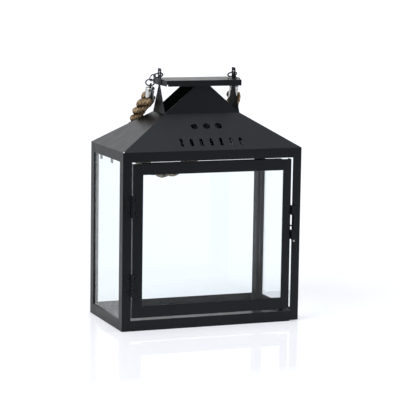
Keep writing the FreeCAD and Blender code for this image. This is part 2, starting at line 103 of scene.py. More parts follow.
class Graph:
    """Adds and joins the nodes of one tree in short calls."""

    def __init__(self, tree: NodeTree) -> None:
        """Works in the given tree."""
        self.tree = tree

    def add(self, kind: str, inputs: dict | None = None, **settings: object) -> Node:
        """Adds a node.

        Args:
            kind: The node's type name.
            inputs: Socket name or index to a value, or to the socket that feeds it.
            **settings: The node's own settings.

        Returns:
            The new node.
        """
        node = self.tree.nodes.new(kind)
        for name, value in settings.items():
            setattr(node, name, value)
        for key, value in (inputs or {}).items():
            if isinstance(value, NodeSocket):
                self.tree.links.new(value, node.inputs[key])
            else:
                node.inputs[key].default_value = value
        return node

    def out(self, kind: str, inputs: dict | None = None, **settings: object) -> NodeSocket:
        """The first output of a new node."""
        return self.add(kind, inputs, **settings).outputs[0]

    def math(self, operation: str, *values: object) -> NodeSocket:
        """The result of a Math node on one, two or three values or sockets."""
        return self.out("ShaderNodeMath", dict(enumerate(values)), operation=operation)

    def times(self, first: object, second: object) -> NodeSocket:
        """The product of two values or sockets."""
        return self.math("MULTIPLY", first, second)

    def most(self, first: object, second: object) -> NodeSocket:
        """The larger of two values or sockets."""
        return self.math("MAXIMUM", first, second)

    def noise(self, vector: NodeSocket, scale: float, detail: float = 2.0) -> NodeSocket:
        """Soft noise from 0 to 1, with so many cells in a unit of the vector."""
        return self.out("ShaderNodeTexNoise", {"Vector": vector, "Scale": scale, "Detail": detail})

    def span(self, value: NodeSocket, low: float, high: float, to_low: float = 0.0,
             to_high: float = 1.0) -> NodeSocket:
        """A value carried from one range to another, and held at its ends."""
        return self.out("ShaderNodeMapRange", {"Value": value, 1: low, 2: high, 3: to_low, 4: to_high})

    def blend(self, share: object, first: object, second: object) -> NodeSocket:
        """A mix of two colours."""
        return self.add("ShaderNodeMix", {0: share, 6: first, 7: second}, data_type="RGBA").outputs[2]

    def attribute(self, name: str) -> NodeSocket:
        """A number that the mesh carries at its points."""
        return self.add("ShaderNodeAttribute", attribute_name=name).outputs["Fac"]

    def bump(self, height: NodeSocket, strength: float, distance: float) -> NodeSocket:
        """A normal tilted by a height."""
        return self.out("ShaderNodeBump", {"Height": height, "Strength": strength, "Distance": distance})

    def parts(self, vector: NodeSocket) -> list[NodeSocket]:
        """The X, Y and Z of a vector."""
        return list(self.add("ShaderNodeSeparateXYZ", {0: vector}).outputs)

    def vector(self, parts: dict[int, object]) -> NodeSocket:
        """A vector with the given parts, and 0 for the others."""
        return self.out("ShaderNodeCombineXYZ", parts)

    def length(self, vector: NodeSocket) -> NodeSocket:
        """How long a vector is."""
        return self.add("ShaderNodeVectorMath", {0: vector}, operation="LENGTH").outputs["Value"]


def fresh_graph(owner: Material | World) -> Graph:
    """Gives a material or a world an empty node tree.

    Args:
        owner: The material or the world.

    Returns:
        Its tree, to work in.
    """
    owner.use_nodes = True
    owner.node_tree.nodes.clear()
    return Graph(owner.node_tree)


def opaque(colour: Colour, share: float = 1.0) -> tuple[float, float, float, float]:
    """A share of a colour with full alpha, as colour sockets take it."""
    return (*(share * part for part in colour), 1.0)


# --- Finishes ---


@dataclass(frozen=True)
class Finish:
    """A named surface finish, made as a node material the first time it is asked for."""

    name: str

    def material(self) -> Material:
        """Makes the finish's material, or finds it.

        Returns:
            The material.
        """
        made = bpy.data.materials.get(self.name)
        if made is None:
            made = bpy.data.materials.new(self.name)
            graph = fresh_graph(made)
            graph.add("ShaderNodeOutputMaterial", {"Surface": self.shader(graph)})
        return made

    def shader(self, graph: Graph) -> NodeSocket:
        """One shader that takes the finish's own inputs."""
        place = graph.add("ShaderNodeTexCoord").outputs["Object"]
        return graph.out("ShaderNodeBsdfPrincipled", self.inputs(graph, place))

    def inputs(self, graph: Graph, place: NodeSocket) -> dict[str, object]:
        """What the finish's shader takes, in the material's tree, at a place on the surface."""
        raise NotImplementedError


@dataclass(frozen=True)
class PowderCoat(Finish):
    """Satin black powder coat: a fine orange peel, uneven gloss, and paler paint along folds that is partly
    wear and partly painted highlight.
    """

    colour: Colour
    fold_wear_and_highlight: Colour
    gloss: Pair
    sheen: Colour = (0.80, 0.89, 1.0)
    mottle_scale: float = 9.0
    mottle_depth: float = 0.86
    smear_scale: float = 55.0
    wear_and_highlight_range: Pair = (0.35, 0.62)
    least_wear_and_highlight: float = 0.25
    peel_scale: float = 900.0
    peel_strength: float = 0.35
    peel_height: float = 0.02 * MM
    # A near-white patch at this corner is a painted glint, standing as a chip of bare metal.
    chip_and_glint_corner: Point = (-0.1392, -0.0742, 0.2632)
    chip_and_glint_reach: Pair = (1.9 * MM, 1.2 * MM)
    chip_and_glint_colour: Colour = (0.95, 0.95, 0.93)
    chip_and_glint_metallic: float = 0.35

    def inputs(self, graph: Graph, place: NodeSocket) -> dict[str, object]:
        """Mottled paint, paler along the folds that the mesh marks, partly from wear and partly as a painted
        highlight, with a near-white painted glint at one corner of the roof that stands as a chip of bare
        metal.

        Args:
            graph: The material's tree.
            place: The place on the surface.

        Returns:
            What the shader takes.
        """
        mottle = graph.noise(place, self.mottle_scale, detail=3.0)
        smear = graph.noise(place, self.smear_scale, detail=3.0)
        peel = graph.noise(place, self.peel_scale, detail=1.0)
        # Along folds the paint is paler: partly wear, partly a painted highlight where an eased edge catches
        # light.
        worn_and_lit = graph.times(graph.attribute("fold"), graph.span(smear, *self.wear_and_highlight_range, self.least_wear_and_highlight))
        deep = opaque(self.colour, self.mottle_depth)
        paint = graph.blend(graph.span(mottle, *SOFT), deep, opaque(self.colour))
        coat = graph.blend(worn_and_lit, paint, opaque(self.fold_wear_and_highlight))
        # A near-white patch at one roof corner, given as a chip of bare metal, is a painted glint.
        ends = {0: place, 1: self.chip_and_glint_corner}
        away = graph.add("ShaderNodeVectorMath", ends, operation="DISTANCE").outputs["Value"]
        chip_and_glint = graph.span(away, *self.chip_and_glint_reach)
        return {
            "Base Color": graph.blend(chip_and_glint, coat, opaque(self.chip_and_glint_colour)),
            "Metallic": graph.times(chip_and_glint, self.chip_and_glint_metallic),
            "Roughness": graph.span(smear, *SOFT, *self.gloss),
            "Normal": graph.bump(peel, self.peel_strength, self.peel_height),
            "Specular Tint": opaque(self.sheen),
            "IOR": 1.5,
        }


@dataclass(frozen=True)
class ClearGlass(Finish):
    """Clear float glass that lets lamps through."""

    tint: Colour
    index: float = 1.36
    ripple_scale: float = 9.0
    ripple_strength: float = 0.2
    ripple_height: float = 0.0006 * MM

    def shader(self, graph: Graph) -> NodeSocket:
        """Glass, through which rays from lamps go straight on.

        Args:
            graph: The material's tree.

        Returns:
            The shader.
        """
        glass = super().shader(graph)
        clear = graph.out("ShaderNodeBsdfTransparent", {"Color": opaque(self.tint)})
        lamp_ray = graph.add("ShaderNodeLightPath").outputs["Is Shadow Ray"]
        return graph.out("ShaderNodeMixShader", {0: lamp_ray, 1: glass, 2: clear})

    def inputs(self, graph: Graph, place: NodeSocket) -> dict[str, object]:
        """Smooth glass with a faint float ripple.

        Args:
            graph: The material's tree.
            place: The place on the surface.

        Returns:
            What the shader takes.
        """
        ripple = graph.noise(place, self.ripple_scale)
        return {
            "Base Color": opaque(self.tint),
            "Roughness": 0.0,
            "IOR": self.index,
            "Transmission Weight": 1.0,
            "Normal": graph.bump(ripple, self.ripple_strength, self.ripple_height),
        }


@dataclass(frozen=True)
class GroundGlass(Finish):
    """The ground edge of a pane: dark bottle green and a little frosted."""

    tint: Colour
    depth: float = 0.55
    shift_scale: float = 30.0
    gloss: Pair = (0.14, 0.3)
    mark_scale: float = 2500.0
    mark_strength: float = 0.2
    mark_height: float = 0.02 * MM

    def inputs(self, graph: Graph, place: NodeSocket) -> dict[str, object]:
        """A green that shifts along the edge, under fine grinding marks.

        Args:
            graph: The material's tree.
            place: The place on the surface.

        Returns:
            What the shader takes.
        """
        shift = graph.noise(place, self.shift_scale, detail=3.0)
        marks = graph.noise(place, self.mark_scale, detail=1.0)
        return {
            "Base Color": graph.blend(shift, opaque(self.tint, self.depth), opaque(self.tint)),
            "Roughness": graph.span(shift, *SOFT, *self.gloss),
            "Normal": graph.bump(marks, self.mark_strength, self.mark_height),
            "IOR": 1.5,
        }


@dataclass(frozen=True)
class BrightPlate(Finish):
    """Nickel plate with handling marks: bright, or darkened to paint the dark reflections of bright plate.
    """

    colour: Colour
    gloss: Pair
    lacquer: float = 0.0
    dullness: float = 0.7
    tarnish_scale: float = 160.0
    tarnish_range: Pair = (0.4, 0.75)
    most_tarnish: float = 0.8
    haze_range: Pair = (0.3, 0.75)
    scuff_scale: float = 1800.0
    scuff_strength: float = 0.12
    scuff_height: float = 0.02 * MM

    def inputs(self, graph: Graph, place: NodeSocket) -> dict[str, object]:
        """Metal whose gloss and tone wander a little.

        Args:
            graph: The material's tree.
            place: The place on the surface.

        Returns:
            What the shader takes.
        """
        tarnish = graph.noise(place, self.tarnish_scale, detail=4.0)
        scuff = graph.noise(place, self.scuff_scale)
        share = graph.span(tarnish, *self.tarnish_range, 0.0, self.most_tarnish)
        return {
            "Base Color": graph.blend(share, opaque(self.colour), opaque(self.colour, self.dullness)),
            "Metallic": 1.0,
            "Roughness": graph.span(tarnish, *self.haze_range, *self.gloss),
            "Normal": graph.bump(scuff, self.scuff_strength, self.scuff_height),
            "Coat Weight": self.lacquer,
            "Coat Roughness": 0.03,
        }


@dataclass(frozen=True)
class Jute(Finish):
    """Twisted jute: long pale and brown fibres that run along each strand, with painted shade in the lay and
    straw mostly on the outer crowns, partly painted highlight.
    """

    shaded_hollow: Colour
    fibre: Colour
    straw: Colour
    fibre_lean: float = math.radians(12)
    fibre_scale: Point = (20.0, 1.6, 1.0)
    fibre_range: Pair = (0.36, 0.54)
    crown_range: Pair = (0.35, 0.9)
    least_lit_straw: float = 0.3
    hair_lean: float = math.radians(17)
    hair_scale: Point = (70.0, 2.2, 1.0)
    hair_range: Pair = (0.40, 0.56)
    hair_relief: float = 0.6
    blotch_scale: float = 120.0
    blotch_range: Pair = (0.28, 0.55)
    least_blotch: float = 0.45
    yarn_scale: float = 260.0
    yarn_range: Pair = (0.36, 0.56)
    least_yarn: float = 0.30
    least_unshaded: float = 0.22
    gloss: Pair = (0.75, 0.95)
    relief_strength: float = 0.8
    relief_height: float = 0.35 * MM

    def inputs(self, graph: Graph, place: NodeSocket) -> dict[str, object]:
        """Fibres along the strand's own map, with painted shade by how deep they lie in the rope and straw
        on the outer crowns as partly painted highlight.

        Args:
            graph: The material's tree.
            place: The place on the surface.

        Returns:
            What the shader takes.
        """
        # Across the strand one unit of its map is its girth, and along it one unit is a centimetre.
        chart = graph.out("ShaderNodeUVMap", uv_map="strand")
        along, fine = (
            graph.out("ShaderNodeMapping", {"Vector": chart, "Rotation": (0.0, 0.0, lean), "Scale": scale})
            for lean, scale in ((self.fibre_lean, self.fibre_scale), (self.hair_lean, self.hair_scale))
        )
        fibre = graph.noise(along, 1.0, detail=3.0)
        hair = graph.noise(fine, 1.0)
        blotch = graph.noise(place, self.blotch_scale, detail=3.0)
        yarn = graph.noise(place, self.yarn_scale)
        crown = graph.attribute("crown")
        # Straw shows mostly on the outer crowns: pale fibres, partly a painted highlight.
        pale_and_lit = graph.times(graph.span(fibre, *self.fibre_range),
                           graph.span(crown, *self.crown_range, self.least_lit_straw))
        tone = graph.blend(pale_and_lit, opaque(self.fibre), opaque(self.straw))
        shade = graph.times(graph.span(hair, *self.hair_range),
                            graph.span(blotch, *self.blotch_range, self.least_blotch))
        shade = graph.times(shade, graph.span(yarn, *self.yarn_range, self.least_yarn))
        # Deep in the lay the colour goes to the painted shade of the hollows.
        unshaded_share = graph.times(crown, graph.span(shade, 0.0, 1.0, self.least_unshaded))
        relief = graph.math("ADD", fibre, graph.times(hair, self.hair_relief))
        return {
            "Base Color": graph.blend(unshaded_share, opaque(self.shaded_hollow), tone),
            "Roughness": graph.span(hair, *SOFT, *self.gloss),
            "Normal": graph.bump(relief, self.relief_strength, self.relief_height),
            "Specular IOR Level": 0.25,
        }


COAT = PowderCoat("satin_black_coat", (0.0050, 0.0055, 0.0066), (0.020, 0.022, 0.025), (0.30, 0.38))
# The inner coat's darker colours are painted shade on inward faces; its rougher, less shiny finish is a
# duller coat.
SHADED_INNER_COAT = PowderCoat("dull_inner_coat_painted_shade", (0.0030, 0.0032, 0.0036), (0.010, 0.011, 0.012),
                        (0.62, 0.74), sheen=(0.34, 0.37, 0.40))
HARDWARE_COAT = PowderCoat("black_hardware_paint", (0.0034, 0.0037, 0.0044), (0.015, 0.016, 0.018),
                           (0.27, 0.36))
CLEAR_GLASS = ClearGlass("clear_float_glass", (0.955, 0.985, 0.988))
GLASS_EDGE = GroundGlass("ground_glass_edge", (0.018, 0.050, 0.042))
BRIGHT = BrightPlate("bright_nickel_plate", (0.92, 0.93, 0.94), (0.03, 0.07))
# The rings' dark colour is a painted dark reflection, on wire that is bright plate.
WIRE_WITH_PAINTED_DARK = BrightPlate("nickel_wire_painted_dark_reflection", (0.10, 0.10, 0.105), (0.06, 0.14), lacquer=1.0)
# The jute's first colour is the painted shade in its lay.
JUTE = Jute("three_strand_jute", (0.012, 0.005, 0.002), (0.60, 0.32, 0.140), (1.0, 0.80, 0.50))


# --- Pieces ---


def linked(name: str, data: ID) -> Piece:
    """Puts a mesh, a curve, a lamp or a camera in the scene.

    Args:
        name: The object's name.
        data: What it shows.

    Returns:
        The new object.
    """
    made = bpy.data.objects.new(name, data)
    bpy.context.scene.collection.objects.link(made)
    return made


def new_piece(name: str, mesh: Mesh, *finishes: Finish) -> Piece:
    """Puts a mesh in the scene as a piece.

    Args:
        name: The piece's name.
        mesh: Its mesh, already in place.
        *finishes: Its finishes, one for each material index. None keeps what the mesh has.

    Returns:
        The new object.
    """
    if finishes:
        mesh.materials.clear()
        for finish in finishes:
            mesh.materials.append(finish.material())
    return linked(name, mesh)


def settle(piece: Piece, body: Body, slot: Slot, *nodes: str) -> Piece:
    """Hangs a finished piece on its body, and hides the plain nodes that it stands for.

    Args:
        piece: The finished piece.
        body: The body that it rides on.
        slot: The record's slot that it belongs to; not used.
        *nodes: The CAD nodes that it replaces.

    Returns:
        The same piece.
    """
    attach(piece, body.value)
    if nodes:
        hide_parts(*nodes)
    log.info("%s: %d faces on %s", piece.name, len(piece.data.polygons), body.value)
    return piece


def apply_modifiers(piece: Piece) -> Piece:
    """Leaves the piece as a plain mesh, with its modifiers worked into it.

    Args:
        piece: The piece.

    Returns:
        The same piece.
    """
    graph = bpy.context.evaluated_depsgraph_get()
    mesh = bpy.data.meshes.new_from_object(piece.evaluated_get(graph), depsgraph=graph)
    piece.modifiers.clear()
    piece.data = mesh
    return piece


def merged_form(node: str, reach: float) -> bmesh.types.BMesh:
    """Copies a CAD node's mesh for editing, with its doubles merged.

    Args:
        node: The CAD node.
        reach: How near two points are that count as one.

    Returns:
        The copy, which the caller frees.
    """
    form = bmesh.new()
    form.from_mesh(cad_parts[node].data)
    bmesh.ops.remove_doubles(form, verts=form.verts, dist=reach)
    return form


def finished_mesh(form: bmesh.types.BMesh, name: str) -> Mesh:
    """Turns an edited form into a mesh, and frees the form.

    Args:
        form: The form.
        name: The mesh's name.

    Returns:
        The mesh.
    """
    mesh = bpy.data.meshes.new(name)
    form.to_mesh(mesh)
    form.free()
    return mesh


@dataclass(frozen=True)
class Folding:
    """How sheet and turned parts are eased: the radius at their edges, and its steps."""

    radius: float = 0.3 * MM
    steps: int = 2
    from_angle: float = math.radians(28)
    flat_angle: float = math.radians(0.5)
    weld_reach: float = 0.002 * MM
    flat_weight: int = 60

    def ease(self, node: str, name: str, finish: Finish) -> Piece:
        """Copies a node with its edges eased and marked.

        Args:
            node: The CAD node to copy.
            name: The new piece's name.
            finish: Its finish.

        Returns:
            The piece, with the point attribute "fold" at 1 along its eased edges.
        """
        form = merged_form(node, self.weld_reach)
        bmesh.ops.dissolve_limit(
            form, angle_limit=self.flat_angle, verts=form.verts, edges=form.edges,
            use_dissolve_boundaries=False,
        )
        fold = form.verts.layers.float.new("fold")
        sharp = [e for e in form.edges if e.is_manifold and e.calc_face_angle() > self.from_angle]
        made = bmesh.ops.bevel(
            form, geom=sharp, offset=self.radius, offset_type="OFFSET", segments=self.steps,
            profile=0.5, affect="EDGES", clamp_overlap=True,
        )
        eased = set(made["faces"])
        for vert in form.verts:
            vert[fold] = float(all(face in eased for face in vert.link_faces))
        for face in form.faces:
            face.smooth = True
        piece = new_piece(name, finished_mesh(form, name), finish)
        normals = piece.modifiers.new("flat faces stay flat", "WEIGHTED_NORMAL")
        normals.mode = "FACE_AREA"
        normals.weight = self.flat_weight
        return apply_modifiers(piece)


SHEET_FOLD = Folding()
THIN_FOLD = Folding(radius=0.2 * MM)


# --- Geometry Nodes recipes for what repeats ---


class Recipe:
    """A geometry node tree that repeats one small shape, with its sizes as named inputs."""

    def __init__(self, name: str, sizes: dict[str, float], finish: Finish) -> None:
        """Builds the tree.

        Args:
            name: The tree's name.
            sizes: The named inputs and their values.
            finish: The finish of what it makes.
        """
        self.sizes = sizes
        self.tree = bpy.data.node_groups.new(name, "GeometryNodeTree")
        interface = self.tree.interface
        for way in ("INPUT", "OUTPUT"):
            interface.new_socket("Geometry", in_out=way, socket_type="NodeSocketGeometry")
        self.inputs = {
            key: interface.new_socket(key, in_out="INPUT", socket_type="NodeSocketFloat") for key in sizes
        }
        graph = Graph(self.tree)
        entry = graph.add("NodeGroupInput")
        placed = self.place(graph, entry, self.shape(graph, entry))
        real = graph.out("GeometryNodeRealizeInstances", {"Geometry": placed})
        dressed = graph.out("GeometryNodeSetMaterial", {"Geometry": real, "Material": finish.material()})
        graph.add("NodeGroupOutput", {"Geometry": dressed})

    def shape(self, graph: Graph, entry: Node) -> NodeSocket:
        """The geometry of the shape that is repeated."""
        raise NotImplementedError

    def place(self, graph: Graph, entry: Node, shape: NodeSocket) -> NodeSocket:
        """Puts the shape on every incoming point, turned as the point's "turn" says.

        Args:
            graph: The tree.
            entry: Its input node.
            shape: The shape's geometry.

        Returns:
            The placed instances.
        """
        turn = graph.out("GeometryNodeInputNamedAttribute", {"Name": "turn"}, data_type="FLOAT_VECTOR")
        rotation = graph.out("FunctionNodeEulerToRotation", {0: turn})
        inputs = {"Points": entry.outputs["Geometry"], "Instance": shape, "Rotation": rotation}
        return graph.out("GeometryNodeInstanceOnPoints", inputs)

    def make(self, name: str, base: Mesh) -> Piece:
        """Runs the tree on a mesh.

        Args:
            name: The new piece's name.
            base: The points or the surface to work on.

        Returns:
            The piece as a plain mesh.
        """
        piece = new_piece(name, base)
        modifier = piece.modifiers.new(self.tree.name, "NODES")
        modifier.node_group = self.tree
        for key, socket in self.inputs.items():
            modifier[socket.identifier] = self.sizes[key]
        return apply_modifiers(piece)


def marked_points(name: str, places: list[Matrix]) -> Mesh:
    """Makes a mesh of bare points that carry their turn.

    Args:
        name: The mesh's name.
        places: A placing matrix for each point.

    Returns:
        The mesh.
    """
    mesh = bpy.data.meshes.new(name)
    mesh.from_pydata([m.translation for m in places], [], [])
    turn = mesh.attributes.new("turn", "FLOAT_VECTOR", "POINT")
    turn.data.foreach_set("vector", [x for m in places for x in m.to_euler()])
    return mesh


def placing(origin: Vector, axis: Vector) -> Matrix:
    """A placing whose Z lies along the axis."""
    turned = axis.normalized().to_track_quat("Z", "Y").to_matrix().to_4x4()
    return Matrix.Translation(origin) @ turned


class RivetHeads(Recipe):
    """Domed rivet heads that stand on their points along Z."""

    AROUND = 24
    STEPS = 5
    TOP_SHARE = 0.25

    def shape(self, graph: Graph, entry: Node) -> NodeSocket:
        """A cone of many steps, raised into a dome.

        Args:
            graph: The tree.
            entry: Its input node.

        Returns:
            The head's geometry.
        """
        radius, height = entry.outputs["Radius"], entry.outputs["Height"]
        inputs = {"Vertices": self.AROUND, "Side Segments": self.STEPS, "Depth": height,
                  "Radius Top": graph.times(radius, self.TOP_SHARE), "Radius Bottom": radius}
        cone = graph.add("GeometryNodeMeshCone", inputs, fill_type="NGON").outputs["Mesh"]
        x, y, _ = graph.parts(graph.out("GeometryNodeInputPosition"))
        share = graph.math("DIVIDE", graph.length(graph.vector({0: x, 1: y})), radius)
        left = graph.math("SUBTRACT", 1.0, graph.times(share, share))
        rise = graph.times(graph.math("SQRT", graph.most(left, 0.0)), height)
        raised = {"Geometry": cone, "Position": graph.vector({0: x, 1: y, 2: rise})}
        domed = graph.out("GeometryNodeSetPosition", raised)
        return graph.out("GeometryNodeSetShadeSmooth", {"Geometry": domed})


class PaneTabs(Recipe):
    """Flat spring tabs with round corners, which lie across their points."""

    CORNER_STEPS = 5
    WELD = 0.01 * MM

    def shape(self, graph: Graph, entry: Node) -> NodeSocket:
        """A rounded rectangle filled and pushed out to its thickness, closed behind.

        Args:
            graph: The tree.
            entry: Its input node.

        Returns:
            The tab's geometry.
        """
        inputs = {"Width": entry.outputs["Width"], "Height": entry.outputs["Height"]}
        outline = graph.out("GeometryNodeCurvePrimitiveQuadrilateral", inputs)
        corner = {"Curve": outline, "Count": self.CORNER_STEPS, "Radius": entry.outputs["Corner"]}
        rounded = graph.out("GeometryNodeFilletCurve", corner, mode="POLY")
        sheet = graph.out("GeometryNodeFillCurve", {"Curve": rounded}, mode="NGONS")
        push = {"Mesh": sheet, "Offset Scale": entry.outputs["Thickness"]}
        front = graph.add("GeometryNodeExtrudeMesh", push, mode="FACES").outputs["Mesh"]
        back = graph.out("GeometryNodeFlipFaces", {"Mesh": sheet})
        joined = graph.add("GeometryNodeJoinGeometry", {"Geometry": front})
        graph.tree.links.new(back, joined.inputs[0])
        inputs = {"Geometry": joined.outputs[0], "Distance": self.WELD}
        return graph.out("GeometryNodeMergeByDistance", inputs)


class WireRings(Recipe):
    """Split rings of round wire, each about its point's Z."""

    PATH_STEPS = 49
    SECTION_STEPS = 14

    def shape(self, graph: Graph, entry: Node) -> NodeSocket:
        """An arc that stops just short of closing, swept by the wire's section.

        Args:
            graph: The tree.
            entry: Its input node.

        Returns:
            The ring's geometry.
        """
        arc = {"Resolution": self.PATH_STEPS, "Radius": entry.outputs["Radius"],
               "Start Angle": entry.outputs["Gap Place"],
               "Sweep Angle": graph.math("SUBTRACT", math.tau, entry.outputs["Gap"])}
        path = graph.out("GeometryNodeCurveArc", arc)
        wire = {"Resolution": self.SECTION_STEPS, "Radius": entry.outputs["Wire"]}
        section = graph.out("GeometryNodeCurvePrimitiveCircle", wire)
        inputs = {"Curve": path, "Profile Curve": section, "Fill Caps": True}
        ring = graph.out("GeometryNodeCurveToMesh", inputs)
        return graph.out("GeometryNodeSetShadeSmooth", {"Geometry": ring})


class LooseFibres(Recipe):
    """Short hairs that stand off a surface, leaning every way."""

    SEED = 7
    SINK = -0.12
    BOW = 0.5
    TIP = 0.3
    PATH_STEPS = 4
    SECTION_STEPS = 3
    LEAN = 0.9
    SIZES = (0.35, 1.25)

    def shape(self, graph: Graph, entry: Node) -> NodeSocket:
        """A bent hair that thins towards its tip.

        Args:
            graph: The tree.
            entry: Its input node.

        Returns:
            The hair's geometry.
        """
        length = entry.outputs["Length"]
        bow = graph.times(length, self.BOW)
        route = {"Resolution": self.PATH_STEPS, "Start": graph.vector({2: graph.times(length, self.SINK)}),
                 "Middle": graph.vector({2: bow}), "End": graph.vector({0: length, 2: bow})}
        path = graph.out("GeometryNodeCurveQuadraticBezier", route)
        gone = graph.add("GeometryNodeSplineParameter").outputs["Factor"]
        thin = graph.span(gone, 0.0, 1.0, 1.0, self.TIP)
        tapered = graph.out("GeometryNodeSetCurveRadius", {"Curve": path, "Radius": thin})
        hair = {"Resolution": self.SECTION_STEPS, "Radius": entry.outputs["Thickness"]}
        section = graph.out("GeometryNodeCurvePrimitiveCircle", hair)
        inputs = {"Curve": tapered, "Profile Curve": section, "Fill Caps": True, "Scale": thin}
        return graph.out("GeometryNodeCurveToMesh", inputs)

    def place(self, graph: Graph, entry: Node, shape: NodeSocket) -> NodeSocket:
        """Scatters the hairs over the incoming surface.

        Args:
            graph: The tree.
            entry: Its input node.
            shape: The hair's geometry.

        Returns:
            The placed instances.
        """
        inputs = {"Mesh": entry.outputs["Geometry"], "Density": entry.outputs["Density"], "Seed": self.SEED}
        spots = graph.add("GeometryNodeDistributePointsOnFaces", inputs)
        furthest = (self.LEAN, self.LEAN, math.pi)
        leans = {0: tuple(-part for part in furthest), 1: furthest, "Seed": self.SEED + 1}
        lean = graph.out("FunctionNodeRandomValue", leans, data_type="FLOAT_VECTOR")
        extra = graph.out("FunctionNodeEulerToRotation", {0: lean})
        turn = {"Rotation": spots.outputs["Rotation"], "Rotate By": extra}
        rotation = graph.out("FunctionNodeRotateRotation", turn, rotation_space="LOCAL")
        sizes = {2: self.SIZES[0], 3: self.SIZES[1], "Seed": self.SEED + 2}
        size = graph.add("FunctionNodeRandomValue", sizes, data_type="FLOAT").outputs[1]
        inputs = {"Points": spots.outputs["Points"], "Instance": shape, "Rotation": rotation, "Scale": size}
        return graph.out("GeometryNodeInstanceOnPoints", inputs)


# --- Sub-assemblies ---


@dataclass
class Framework:
    """The fixed steelwork: posts, rails, floor tray, roof and chimney."""

    corners: tuple[str, ...] = ("front_left", "front_right", "back_left", "back_right")
    sides: tuple[str, ...] = ("front", "back", "left", "right")
    chimney: tuple[str, ...] = ("front", "back", "end_left", "end_right", "cap")
    # Parts whose inward faces get painted shade.
    shaded_hollow: tuple[str, ...] = ("roof_", "chimney_", "post_back", "rail_top_back")
    lapped: tuple[str, ...] = ("chimney_front", "chimney_back")
    foot_band: float = 0.4 * MM
    foot_lap: float = 0.6 * MM
    # Faces that look up more than this keep the outer coat.
    top_from: float = 0.5
    fold: Folding = SHEET_FOLD

    def nodes(self) -> list[str]:
        """Names every node of the fixed steelwork.

        Returns:
            The names, in the order of building.
        """
        names = [f"post_{corner}" for corner in self.corners]
        names += [f"rail_{level}_{side}" for level in ("bottom", "top") for side in self.sides]
        names += [f"roof_{side}" for side in self.sides]
        names += [f"chimney_{part}" for part in self.chimney]
        return names + ["floor_tray"]

    def build(self) -> None:
        """Makes each part with its edges eased."""
        for node in self.nodes():
            piece = self.fold.ease(node, f"coated_{node}", COAT)
            # The inward faces of these parts get painted shade.
            if node.startswith(self.shaded_hollow):
                self.shade_inside(piece)
            if node in self.lapped:
                self.lap_foot(piece)
            settle(piece, Body.LANTERN, Slot.PAINT, node)

    def lap_foot(self, piece: Piece) -> None:
        """Brings a panel's foot down past the roof's rim, so that no light shows between them.

        Args:
            piece: The panel.
        """
        verts = piece.data.vertices
        band = min(vert.co.z for vert in verts) + self.foot_band
        for vert in verts:
            if vert.co.z < band:
                vert.co.z -= self.foot_lap

    def shade_inside(self, piece: Piece) -> None:
        """Gives a duller, darker coat to the faces that look down or at the lantern's axis: its darker
        colour is painted shade.

        Args:
            piece: The part.
        """
        piece.data.materials.append(SHADED_INNER_COAT.material())
        for face in piece.data.polygons:
            outward = Vector((*face.center.xy, 0.0))
            face.material_index = int(face.normal.dot(outward) < 0.0 and face.normal.z < self.top_from)


